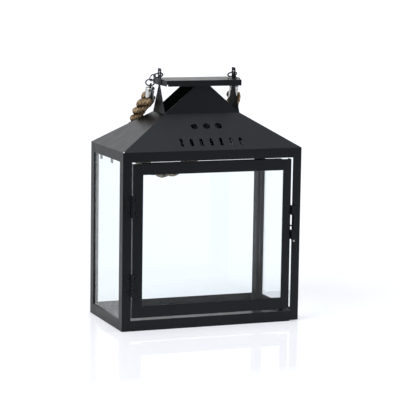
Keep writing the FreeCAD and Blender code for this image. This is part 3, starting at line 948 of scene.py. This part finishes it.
@dataclass
class Glazing:
    """The four panes, with ground edges, and the tabs that hold them."""

    panes: dict[str, Body] = field(default_factory=lambda: {
        "pane_left": Body.LANTERN, "pane_right": Body.LANTERN, "pane_back": Body.LANTERN,
        "door_pane": Body.DOOR,
    })
    clips: dict[str, Body] = field(default_factory=lambda: {
        "clips_left": Body.LANTERN, "clips_right": Body.LANTERN, "clips_back": Body.LANTERN,
        "door_clips": Body.DOOR,
    })
    edge_chamfer: float = 0.3 * MM
    square_to_pane: float = 0.99
    tab_corner: float = 1.6 * MM
    same_place: float = 0.05 * MM
    height_digits: int = 5

    def pane(self, node: str, body: Body) -> None:
        """Makes one pane: two clear faces, and a ground edge all round.

        Args:
            node: The CAD node that it replaces.
            body: The body that it rides on.
        """
        low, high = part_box(node)
        size = high - low
        thin = min(range(3), key=lambda k: size[k])
        form = bmesh.new()
        place = Matrix.Translation((low + high) / 2) @ Matrix.Diagonal((*size, 1.0))
        bmesh.ops.create_cube(form, size=1.0, matrix=place)
        bmesh.ops.bevel(form, geom=form.edges[:], offset=self.edge_chamfer, segments=1, affect="EDGES")
        for face in form.faces:
            face.material_index = int(abs(face.normal[thin]) < self.square_to_pane)
        piece = new_piece(f"glass_{node}", finished_mesh(form, node), CLEAR_GLASS, GLASS_EDGE)
        settle(piece, body, Slot.GLASS, node)

    def tab_boxes(self, node: str) -> list[tuple[Vector, Vector]]:
        """Finds each loose tab in a node of tabs.

        Args:
            node: The CAD node.

        Returns:
            The low and high corner of each tab.
        """
        form = merged_form(node, self.same_place)
        left = set(form.verts)
        found = []
        while left:
            island = {left.pop()}
            edge_of = list(island)
            while edge_of:
                vert = edge_of.pop()
                for edge in vert.link_edges:
                    other = edge.other_vert(vert)
                    if other in left:
                        left.discard(other)
                        island.add(other)
                        edge_of.append(other)
            points = np.array([v.co for v in island])
            found.append((Vector(points.min(0)), Vector(points.max(0))))
        form.free()
        return sorted(found, key=lambda pair: tuple(pair[0]))

    def tabs(self, node: str, body: Body) -> None:
        """Makes all tabs of a node, in one piece for each height that they have.

        Args:
            node: The CAD node that they replace.
            body: The body that they ride on.
        """
        up = Vector((0, 0, 1))
        by_height: dict[float, list[tuple[Vector, Vector]]] = {}
        for low, high in self.tab_boxes(node):
            by_height.setdefault(round((high - low).z, self.height_digits), []).append((low, high))
        for k, (height, mine) in enumerate(sorted(by_height.items())):
            size = mine[0][1] - mine[0][0]
            across_x = size.x > size.y
            width, thickness = (size.x, size.y) if across_x else (size.y, size.x)
            sizes = {"Width": width, "Height": height, "Corner": self.tab_corner, "Thickness": thickness}
            recipe = PaneTabs(f"tabs_{node}_{k}", sizes, COAT)
            outward = Vector((0, 1, 0)) if across_x else Vector((1, 0, 0))
            places = []
            for low, high in mine:
                middle = (low + high) / 2
                side = outward * (1 if middle.dot(outward) > 0 else -1)
                upright = Matrix((up.cross(side), up, side)).transposed()
                places.append(Matrix.Translation(middle - side * thickness / 2) @ upright.to_4x4())
            piece = recipe.make(f"spring_tabs_{node}_{k}", marked_points(node, places))
            settle(piece, body, Slot.PAINT, *([node] if k == 0 else []))

    def build(self) -> None:
        """Makes the panes and their tabs."""
        for node, body in self.panes.items():
            self.pane(node, body)
        for node, body in self.clips.items():
            self.tabs(node, body)


@dataclass
class Door:
    """The door's angle frame."""

    parts: tuple[str, ...] = ("door_stile_left", "door_stile_right", "door_rail_top", "door_rail_bottom")
    fold: Folding = SHEET_FOLD

    def build(self) -> None:
        """Makes each part with its edges eased."""
        for node in self.parts:
            settle(self.fold.ease(node, f"coated_{node}", COAT), Body.DOOR, Slot.PAINT, node)


@dataclass
class Hardware:
    """The hinges and the latch, with their rivets."""

    rivet_radius: float = 1.7 * MM
    rivet_height: float = 0.6 * MM
    foot_share: float = 0.1
    radii_apart: int = 4
    fold: Folding = THIN_FOLD
    rivets: dict[str, Body] = field(default_factory=lambda: {
        "hinge_rivets_frame": Body.LANTERN, "hinge_rivets_door": Body.DOOR,
        "latch_rivet": Body.LANTERN, "latch_clip_rivet": Body.DOOR,
    })
    # The rod's ball has lost its paint.
    bright_below: float = 124.3 * MM

    def painted(self, node: str, body: Body) -> Piece:
        """One painted part of the hardware."""
        return settle(self.fold.ease(node, f"painted_{node}", HARDWARE_COAT), body, Slot.HARDWARE, node)

    def hinges(self) -> None:
        """The leaves and pins of both hinges."""
        for level in ("lower", "upper"):
            self.painted(f"hinge_leaf_frame_{level}", Body.LANTERN)
            self.painted(f"hinge_leaf_door_{level}", Body.DOOR)
            self.painted(f"hinge_pin_{level}", Body.LANTERN)

    def latch(self) -> None:
        """The keeper on the frame and the spring clip on the door."""
        self.painted("latch_plate", Body.LANTERN)
        self.painted("latch_lugs", Body.LANTERN)
        self.painted("latch_clip", Body.DOOR)
        rod = self.fold.ease("latch_rod", "painted_latch_rod", HARDWARE_COAT)
        rod.data.materials.append(BRIGHT.material())
        for face in rod.data.polygons:
            face.material_index = int(face.center.z < self.bright_below)
        settle(rod, Body.LANTERN, Slot.HARDWARE, "latch_rod")

    def rivet_places(self, node: str) -> list[Matrix]:
        """Finds where each rivet of a node stands, facing forward.

        Args:
            node: The CAD node.

        Returns:
            A placing for each rivet.
        """
        points = np.array([v.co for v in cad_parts[node].data.vertices])
        foot = points[:, 1].max()
        ring = points[points[:, 1] > foot - self.foot_share * self.rivet_height]
        keys = np.round(ring[:, [0, 2]] / (self.radii_apart * self.rivet_radius)).astype(int)
        places = []
        for key in sorted({tuple(k) for k in keys}):
            near = ring[(keys == key).all(axis=1)]
            middle = (near.min(0) + near.max(0)) / 2
            places.append(placing(Vector((middle[0], foot, middle[2])), Vector((0, -1, 0))))
        return places

    def rivet_heads(self) -> None:
        """Domed heads for every rivet."""
        sizes = {"Radius": self.rivet_radius, "Height": self.rivet_height}
        heads = RivetHeads("rivet_heads", sizes, HARDWARE_COAT)
        for node, body in self.rivets.items():
            piece = heads.make(f"domed_{node}", marked_points(node, self.rivet_places(node)))
            settle(piece, body, Slot.HARDWARE, node)

    def build(self) -> None:
        """Makes the hinges, the latch and the rivets."""
        self.hinges()
        self.latch()
        self.rivet_heads()


@dataclass(frozen=True)
class RingSize:
    """One kind of ring at both ends: its place and lie at the right end, in millimetres."""

    node: str
    radius: float
    wire: float
    centre: Point
    normal: Point
    gap_place: float

    def places(self) -> list[Matrix]:
        """The ring's placing at each end."""
        return [placing(end.mirror(self.centre) * MM, end.mirror(self.normal)) for end in End]


@dataclass
class HandleEnds:
    """The linked rings in each ear, and the plain ferrule on each end of the rope."""

    rings: tuple[RingSize, ...] = (
        RingSize("ring_eye", 6.6, 1.15, (59.0, 5.406, 366.014), (0.0, 0.574, 0.819), 2.4),
        RingSize("ring_link", 5.5, 0.9, (66.32, 10.02, 362.35), (-0.793, 0.333, -0.51), 0.4),
        RingSize("ring_bail", 6.5, 1.05, (68.74, 13.67, 354.8), (0.243, -0.741, -0.626), 1.0),
    )
    gap: float = math.radians(3)
    mouth: Point = (67.4, 21.6, 332.4)
    into_rope: Point = (70.7, 27.7, 325.2)
    axis: Point = (-0.02, -0.27, 0.963)
    radius: float = 7.0 * MM
    length: float = 16.0 * MM
    wall: float = 0.6 * MM
    lined_share: float = 0.4
    shoulder: float = 1.4 * MM
    bead: float = 0.3 * MM
    bead_from_crown: float = 3.4 * MM
    bead_width: float = 0.5 * MM
    loop_radius: float = 3.0 * MM
    loop_wire: float = 0.9 * MM
    loop_standoff: float = 2.6 * MM
    loop_normal: Point = (-0.759, -0.622, -0.19)
    loop_gap: float = math.radians(1)
    loop_gap_place: float = 4.6
    around: int = 48
    steps: int = 40

    def make_rings(self) -> None:
        """One piece for each kind of ring."""
        for ring in self.rings:
            sizes = {"Radius": ring.radius * MM, "Wire": ring.wire * MM, "Gap": self.gap,
                     "Gap Place": ring.gap_place}
            recipe = WireRings(f"wire_{ring.node}", sizes, WIRE_WITH_PAINTED_DARK)
            piece = recipe.make(f"plated_{ring.node}s", marked_points(ring.node, ring.places()))
            settle(piece, Body.HANDLE, Slot.BRIGHT, *(f"{ring.node}_{end.word}" for end in End))

    def sleeve_radius(self, height: float) -> float:
        """Gives the sleeve a rolled bead and a round shoulder.

        Args:
            height: A height above the sleeve's mouth.

        Returns:
            The outer radius there.
        """
        away = (height - self.length + self.bead_from_crown) / self.bead_width
        radius = self.radius - self.bead * math.exp(-away * away)
        into_shoulder = max(0.0, height - (self.length - self.shoulder)) / self.shoulder
        return radius - self.shoulder * (1 - math.sqrt(max(0.0, 1 - into_shoulder * into_shoulder)))

    def lie(self, end: End) -> tuple[Vector, Vector, Vector]:
        """How the sleeve lies at one end.

        Args:
            end: Which end of the lantern.

        Returns:
            The sleeve's mouth, its axis upward, and the rope's way out of it.
        """
        mouth = end.mirror(self.mouth) * MM
        leave = end.mirror(self.into_rope) * MM - mouth
        return mouth, end.mirror(self.axis).normalized(), leave.normalized()

    def ferrule(self, end: End) -> Piece:
        """The sleeve at one end: a turned shell, cut off square to the rope that goes into it.

        Args:
            end: Which end of the lantern.

        Returns:
            The piece, a closed shell with a wall at its mouth.
        """
        mouth, axis, leave = self.lie(end)
        place = placing(mouth, axis)
        turned = place.to_3x3().transposed() @ leave
        inner = self.radius - self.wall
        outline = [(inner, self.length * self.lined_share), (inner, 0.0)]
        for k in range(self.steps + 1):
            height = self.length * k / self.steps
            outline.append((self.sleeve_radius(height), height))
        form = bmesh.new()
        rings = []
        for radius, height in outline:
            ring = []
            for i in range(self.around):
                angle = math.tau * i / self.around
                point = Vector((radius * math.cos(angle), radius * math.sin(angle), 0.0))
                # The cut's plane passes through the mouth's middle, so each side starts at its own height.
                cut = -(turned.x * point.x + turned.y * point.y) / turned.z
                point.z = cut + (self.length - cut) * height / self.length
                ring.append(form.verts.new(point))
            rings.append(ring)
        for lower, upper in zip(rings[:-1], rings[1:]):
            for i in range(self.around):
                j = (i + 1) % self.around
                form.faces.new((lower[i], lower[j], upper[j], upper[i]))
        form.faces.new(rings[-1])
        form.faces.new(rings[0])
        bmesh.ops.recalc_face_normals(form, faces=form.faces)
        for face in form.faces:
            face.smooth = len(face.verts) == 4
        form.transform(place)
        return new_piece(f"plated_ferrule_{end.word}", finished_mesh(form, "ferrule"), BRIGHT)

    def make_ferrules(self) -> None:
        """Both sleeves, and the closed loops on top of them."""
        loops = []
        for end in End:
            settle(self.ferrule(end), Body.HANDLE, Slot.BRIGHT, f"ferrule_{end.word}")
            mouth, axis, _ = self.lie(end)
            centre = mouth + axis * (self.length + self.loop_standoff)
            loops.append(placing(centre, end.mirror(self.loop_normal)))
        sizes = {"Radius": self.loop_radius, "Wire": self.loop_wire, "Gap": self.loop_gap,
                 "Gap Place": self.loop_gap_place}
        recipe = WireRings("wire_ferrule_loops", sizes, WIRE_WITH_PAINTED_DARK)
        settle(recipe.make("ferrule_loops", marked_points("loops", loops)), Body.HANDLE, Slot.BRIGHT)

    def build(self) -> None:
        """Makes the rings, the ferrules and their loops."""
        self.make_rings()
        self.make_ferrules()


@dataclass
class Rope:
    """The rope: three laid strands of several yarns each, along one smooth route."""

    diameter: float = 19 * MM
    length: float = 0.3857
    lay: float = 58 * MM
    strand_count: int = 3
    strand_radius: float = 4.75 * MM
    yarns: int = 6
    yarn_depth: float = 0.20
    yarn_power: float = 0.8
    yarn_lay: float = -30 * MM
    flare: float = 0.24
    flare_length: float = 12 * MM
    end_rise: float = 2.4 * MM
    end_steps: int = 5
    steps_per_point: int = 22
    around: int = 30
    unevenness: float = 0.04
    wander_step: float = 12 * MM
    wander_turn: float = 2.0
    wander_out: float = 0.5
    seed: int = 11
    crown_from: float = 0.66
    crown_depth: float = 0.28
    least_crown: float = 0.4
    chart_unit: float = 10 * MM
    fray_reach: float = 15 * MM
    fuzz: dict[str, float] = field(default_factory=lambda: {
        "Length": 1.9 * MM, "Thickness": 0.07 * MM, "Density": 70000.0,
    })
    frays: dict[str, float] = field(default_factory=lambda: {
        "Length": 3.6 * MM, "Thickness": 0.24 * MM, "Density": 34000.0,
    })
    route: tuple[Point, ...] = (
        (-0.0674, 0.0216, 0.3324), (-0.0707, 0.0277, 0.3252), (-0.0734, 0.0352, 0.3182),
        (-0.0745, 0.0445, 0.3110), (-0.0740, 0.0555, 0.3025), (-0.0725, 0.0675, 0.2923),
        (-0.0720, 0.0810, 0.2798), (-0.0710, 0.0920, 0.2645), (-0.0668, 0.0986, 0.2475),
        (-0.0580, 0.1016, 0.2315), (-0.0445, 0.1027, 0.2185), (-0.0275, 0.1030, 0.2102),
        (-0.0085, 0.1030, 0.2076), (0.0108, 0.1028, 0.2113), (0.0273, 0.1018, 0.2210),
        (0.0398, 0.0998, 0.2360), (0.0485, 0.0960, 0.2530), (0.0555, 0.0888, 0.2695),
        (0.0622, 0.0784, 0.2834), (0.0682, 0.0670, 0.2944), (0.0724, 0.0558, 0.3030),
        (0.0743, 0.0450, 0.3108), (0.0734, 0.0352, 0.3182), (0.0707, 0.0277, 0.3252),
        (0.0674, 0.0216, 0.3324),
    )

    def centreline(self) -> np.ndarray:
        """Draws the smooth curve that the route controls.

        Returns:
            The curve's points.
        """
        curve = bpy.data.curves.new("rope_route", "CURVE")
        curve.dimensions = "3D"
        curve.resolution_u = self.steps_per_point
        spline = curve.splines.new("NURBS")
        spline.points.add(len(self.route) - 1)
        for point, place in zip(spline.points, self.route):
            point.co = (*place, 1.0)
        spline.order_u = 3
        spline.use_endpoint_u = True
        holder = linked("rope_route", curve)
        mesh = bpy.data.meshes.new_from_object(holder)
        points = np.array([v.co for v in mesh.vertices])
        bpy.data.objects.remove(holder)
        bpy.data.curves.remove(curve)
        return points

    @staticmethod
    def frames(line: np.ndarray) -> tuple[np.ndarray, np.ndarray, np.ndarray]:
        """Carries a frame along a line without twisting it.

        Args:
            line: The line's points.

        Returns:
            The way ahead at each point, and two directions across it.
        """
        ahead = np.gradient(line, axis=0)
        ahead /= np.linalg.norm(ahead, axis=1)[:, None]
        side = np.cross(ahead[0], (1.0, 0.0, 0.0))
        first = []
        for tangent in ahead:
            side = side - tangent * side.dot(tangent)
            side = side / np.linalg.norm(side)
            first.append(side)
        first = np.array(first)
        return ahead, first, np.cross(ahead, first)

    def fullness(self, marks: np.ndarray) -> np.ndarray:
        """The rope's girth as a share of its full one: it splays a little at the ferrules."""
        from_end = np.minimum(marks, marks[-1] - marks) / self.flare_length
        return 1 + self.flare * np.exp(-from_end * from_end)

    def skin(self, line: np.ndarray, marks: np.ndarray, k: int,
             rng: np.random.Generator) -> tuple[np.ndarray, np.ndarray]:
        """One strand's surface.

        Args:
            line: The rope's centreline.
            marks: How far along it each point lies.
            k: The strand's number.
            rng: The source of its unevenness.

        Returns:
            A ring of points for each point of the line, and how far out in the rope each lies, 0 to 1.
        """
        _, first, second = self.frames(line)
        full = self.fullness(marks)
        knots = np.arange(0.0, marks[-1] + 2 * self.wander_step, self.wander_step)
        wander = np.interp(marks, knots, rng.normal(0, self.unevenness, len(knots)))
        phase = math.tau * (marks / self.lay + k / self.strand_count) + wander * self.wander_turn
        out = np.cos(phase)[:, None] * first + np.sin(phase)[:, None] * second
        swing = self.diameter / 2 - self.strand_radius
        centre = line + out * (swing * full * (1 + wander * self.wander_out))[:, None]
        ahead, across, over = self.frames(centre)
        turn = np.arange(self.around) / self.around * math.tau
        lobe = turn[None, :] - math.tau * marks[:, None] / self.yarn_lay
        ridge = np.abs(np.cos(self.yarns / 2 * lobe)) ** self.yarn_power
        girth = self.strand_radius * full[:, None]
        radius = girth * (1 - self.yarn_depth * (1 - ridge)) * (1 + wander[:, None])
        rim = (np.cos(turn)[None, :, None] * across[:, None, :]
               + np.sin(turn)[None, :, None] * over[:, None, :])
        rings = centre[:, None, :] + radius[:, :, None] * rim
        # The crown, how far out a point lies with its yarn ridges, masks the painted shade in the lay and
        # between yarns, and the painted highlight on the crowns.
        depth = np.linalg.norm(rings - line[:, None, :], axis=2) / (self.diameter / 2 * full[:, None])
        crown = np.clip((depth - self.crown_from) / self.crown_depth, 0.0, 1.0)
        crown = crown * (self.least_crown + (1 - self.least_crown) * ridge)
        # Each end is closed by a dome of a few smaller rings, which stops half a step before its top.
        for side, way in ((0, -1), (-1, 1)):
            caps = []
            for step in range(1, self.end_steps + 1):
                angle = math.pi / 2 * step / (self.end_steps + 0.5)
                lift = ahead[side] * way * self.end_rise * math.sin(angle)
                caps.append(centre[side] + (rings[side] - centre[side]) * math.cos(angle) + lift)
            tones = [crown[side]] * self.end_steps
            rings = np.concatenate([caps[::-1], rings] if side == 0 else [rings, caps])
            crown = np.concatenate([tones, crown] if side == 0 else [crown, tones])
        return rings, crown

    def strands(self, line: np.ndarray) -> Mesh:
        """Makes the mesh of all strands.

        Args:
            line: The rope's centreline.

        Returns:
            The mesh, with the map "strand" and the point attribute "crown".
        """
        marks = np.concatenate([[0.0], np.cumsum(np.linalg.norm(np.diff(line, axis=0), axis=1))])
        along = np.pad(marks, self.end_steps, mode="edge") / self.chart_unit
        rng = np.random.default_rng(self.seed)
        verts, faces, charts, crowns = [], [], [], []
        for k in range(self.strand_count):
            rings, crown = self.skin(line, marks, k, rng)
            base = len(verts)
            verts.extend(rings.reshape(-1, 3).tolist())
            crowns.extend(crown.reshape(-1).tolist())
            for i in range(len(rings) - 1):
                for j in range(self.around):
                    n = (j + 1) % self.around
                    low, high = base + i * self.around, base + (i + 1) * self.around
                    faces.append((low + j, low + n, high + n, high + j))
                    u0, u1 = j / self.around, (j + 1) / self.around
                    charts.extend(((u0, along[i]), (u1, along[i]), (u1, along[i + 1]), (u0, along[i + 1])))
            for i, order in ((0, -1), (len(rings) - 1, 1)):
                low = base + i * self.around
                cap = tuple(low + j for j in range(self.around))
                faces.append(cap[::order])
                charts.extend([(0.5, along[i])] * self.around)
        mesh = bpy.data.meshes.new("rope_strands")
        mesh.from_pydata(verts, [], faces)
        chart = mesh.uv_layers.new(name="strand")
        chart.data.foreach_set("uv", [x for pair in charts for x in pair])
        layer = mesh.attributes.new("crown", "FLOAT", "POINT")
        layer.data.foreach_set("value", crowns)
        mesh.polygons.foreach_set("use_smooth", [True] * len(mesh.polygons))
        return mesh

    def mouth_skin(self, strands: Mesh) -> Mesh:
        """Copies the strands' surface near both ferrules, where yarns have come loose.

        Args:
            strands: The mesh of the strands.

        Returns:
            The mesh of what lies near the ferrules.
        """
        form = bmesh.new()
        form.from_mesh(strands)
        ends = [Vector(self.route[0]), Vector(self.route[-1])]
        far = [v for v in form.verts if min((v.co - end).length for end in ends) > self.fray_reach]
        bmesh.ops.delete(form, geom=far, context="VERTS")
        return finished_mesh(form, "rope_mouths")

    def build(self) -> None:
        line = self.centreline()
        strands = self.strands(line)
        rope = settle(new_piece("jute_rope", strands, JUTE), Body.HANDLE, Slot.ROPE, "rope")
        fuzz = LooseFibres("jute_fuzz", self.fuzz, JUTE).make("jute_fibres", strands.copy())
        settle(fuzz, Body.HANDLE, Slot.ROPE)
        frays = LooseFibres("jute_frays", self.frays, JUTE).make("jute_frays", self.mouth_skin(strands))
        settle(frays, Body.HANDLE, Slot.ROPE)


# --- Studio ---


@dataclass(frozen=True)
class SoftLamp:
    """A square soft lamp: its place, its side and its power."""

    name: str
    place: Point
    size: float
    power: float

    def hang(self, target: Point) -> None:
        """Puts the lamp in the scene, facing a target.

        Args:
            target: What it faces.
        """
        data = bpy.data.lights.new(self.name, "AREA")
        data.size = self.size
        data.energy = self.power
        way = Vector(self.place) - Vector(target)
        linked(self.name, data).matrix_world = placing(Vector(self.place), way)


@dataclass
class Studio:
    """A white floor that mirrors faintly, a white surround, soft lamps and the camera."""

    camera_place: Point = (-1.0097, -2.6156, 0.5873)
    yaw: float = math.radians(21.263)
    pitch: float = math.radians(8.303)
    roll: float = math.radians(0.873)
    lens: float = 169.76
    sensor: float = 36.0
    clip_end: float = 200.0
    floor_half: float = 30.0
    floor_drop: float = 0.05 * MM
    floor_colour: Colour = (0.82, 0.82, 0.82)
    front_colour: Colour = (0.70, 0.70, 0.70)
    near_colour: Colour = (0.03, 0.03, 0.03)
    behind_reach: Pair = (-0.1, 0.25)
    near_x: Pair = (0.25, -0.05)
    near_y: Pair = (-0.35, -0.6)
    floor_mirror: float = 0.18
    seen_mirror: float = 0.22
    mirror_blur: float = 0.02
    floor_glow: float = 0.44
    far_glow: float = 0.80
    glow_reach: Pair = (0.8, 5.0)
    front_reach: Pair = (-0.34, -0.47)
    glow_colour: Colour = (0.95, 0.99, 1.12)
    # The surround's ranges are shares of a whole direction: Y to the back, Z up, X to the right.
    white: Colour = (1.0, 1.0, 1.0)
    plain_tone: float = 0.55
    dark_tone: float = 0.03
    back_y: Pair = (0.35, 0.8)
    back_z: Pair = (0.16, 0.36)
    back_tones: Pair = (1.0, 0.13)
    top_z: Pair = (0.72, 0.92)
    top_x: Pair = (0.28, 0.46)
    top_tones: Pair = (1.15, 0.65)
    left_x: Pair = (-0.84, -0.94)
    left_tone: float = 1.1
    right_x: Pair = (0.85, 0.97)
    right_tone: float = 0.35
    lamp_target: Point = (0.0, 0.0, 0.2)
    lamps: tuple[SoftLamp, ...] = (
        SoftLamp("key_lamp", (-1.6, -0.9, 1.9), 1.3, 28.0),
        SoftLamp("fill_lamp", (1.8, -0.6, 1.5), 1.5, 9.0),
        SoftLamp("back_lamp", (0.2, 2.2, 1.6), 1.6, 5.5),
    )

    def camera(self) -> None:
        """The camera, from its place and its three turns."""
        ahead = Vector((math.sin(self.yaw) * math.cos(self.pitch), math.cos(self.yaw) * math.cos(self.pitch),
                        -math.sin(self.pitch)))
        level = Vector((math.cos(self.yaw), -math.sin(self.yaw), 0.0))
        upright = level.cross(ahead)
        right = level * math.cos(self.roll) + upright * math.sin(self.roll)
        up = upright * math.cos(self.roll) - level * math.sin(self.roll)
        data = bpy.data.cameras.new("camera")
        data.lens = self.lens
        data.sensor_width = self.sensor
        data.clip_end = self.clip_end
        camera = linked("camera", data)
        axes = Matrix((right, up, -ahead)).transposed().to_4x4()
        camera.matrix_world = Matrix.Translation(self.camera_place) @ axes
        bpy.context.scene.camera = camera

    def floor_shader(self, graph: Graph) -> NodeSocket:
        """Lit matt white, with a glow that the camera sees and a faint mirror on it.

        Args:
            graph: The material's tree.

        Returns:
            The shader.
        """
        path = graph.add("ShaderNodeLightPath").outputs
        place = graph.add("ShaderNodeTexCoord").outputs["Object"]
        x, y, _ = graph.parts(place)
        near = graph.times(graph.span(x, *self.near_x), graph.span(y, *self.near_y))
        front = graph.blend(near, opaque(self.front_colour), opaque(self.near_colour))
        ahead = graph.math("SUBTRACT", 1.0, graph.span(y, *self.behind_reach))
        dim = graph.times(path["Is Glossy Ray"], ahead)
        colour = graph.blend(dim, opaque(self.floor_colour), front)
        matt = graph.out("ShaderNodeBsdfDiffuse", {"Color": colour})
        glows = (self.floor_glow, self.far_glow)
        level = graph.most(graph.span(graph.length(place), *self.glow_reach, *glows),
                           graph.span(y, *self.front_reach, *glows))
        seen = graph.most(path["Is Camera Ray"], path["Is Transmission Ray"])
        lit = {"Color": opaque(self.glow_colour), "Strength": graph.times(seen, level)}
        bright = graph.out("ShaderNodeAddShader", {0: matt, 1: graph.out("ShaderNodeEmission", lit)})
        mirror = graph.out("ShaderNodeBsdfGlossy", {"Roughness": self.mirror_blur})
        share = graph.span(path["Is Camera Ray"], 0.0, 1.0, self.floor_mirror, self.seen_mirror)
        return graph.out("ShaderNodeMixShader", {0: share, 1: bright, 2: mirror})

    def floor(self) -> None:
        """A plain square floor."""
        mesh = bpy.data.meshes.new("floor")
        half = self.floor_half
        square = ((-half, -half), (half, -half), (half, half), (-half, half))
        mesh.from_pydata([(x, y, -self.floor_drop) for x, y in square], [], [(0, 1, 2, 3)])
        material = bpy.data.materials.new("studio_floor")
        graph = fresh_graph(material)
        graph.add("ShaderNodeOutputMaterial", {"Surface": self.floor_shader(graph)})
        mesh.materials.append(material)
        floor = linked("studio_floor", mesh)

    def surround(self) -> None:
        """A white world, in which glossy surfaces find a dark studio with a bright back, top and left."""
        world = bpy.data.worlds.new("studio")
        graph = fresh_graph(world)
        x, y, z = graph.parts(graph.add("ShaderNodeTexCoord").outputs["Generated"])
        back = graph.times(graph.span(y, *self.back_y), graph.span(z, *self.back_z, *self.back_tones))
        over = graph.times(graph.span(z, *self.top_z), graph.span(x, *self.top_x, *self.top_tones))
        left = graph.span(x, *self.left_x, 0.0, self.left_tone)
        right = graph.span(x, *self.right_x, 0.0, self.right_tone)
        tone = graph.most(graph.most(graph.most(back, over), graph.most(left, right)), self.dark_tone)
        path = graph.add("ShaderNodeLightPath").outputs
        plain = graph.most(path["Is Camera Ray"], path["Is Transmission Ray"])
        glossy = graph.out("ShaderNodeMix", {0: path["Is Glossy Ray"], 2: self.plain_tone, 3: tone})
        strength = graph.out("ShaderNodeMix", {0: plain, 2: glossy, 3: 1.0})
        back = graph.out("ShaderNodeBackground", {"Color": opaque(self.white), "Strength": strength})
        graph.add("ShaderNodeOutputWorld", {"Surface": back})
        bpy.context.scene.world = world

    def build(self) -> None:
        """Makes the stage."""
        self.camera()
        self.floor()
        self.surround()
        for lamp in self.lamps:
            lamp.hang(self.lamp_target)
        bpy.context.scene.view_settings.view_transform = "Standard"


def main() -> None:
    """Builds the studio and the lantern's sub-assemblies in order."""
    logging.basicConfig(level=logging.INFO, format="%(name)s: %(message)s")
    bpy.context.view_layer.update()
    for part in (Studio(), Rope(), HandleEnds(), Framework(), Door(), Glazing(), Hardware()):
        log.info("building %s", type(part).__name__)
        part.build()


if __name__ == "__main__":
    main()
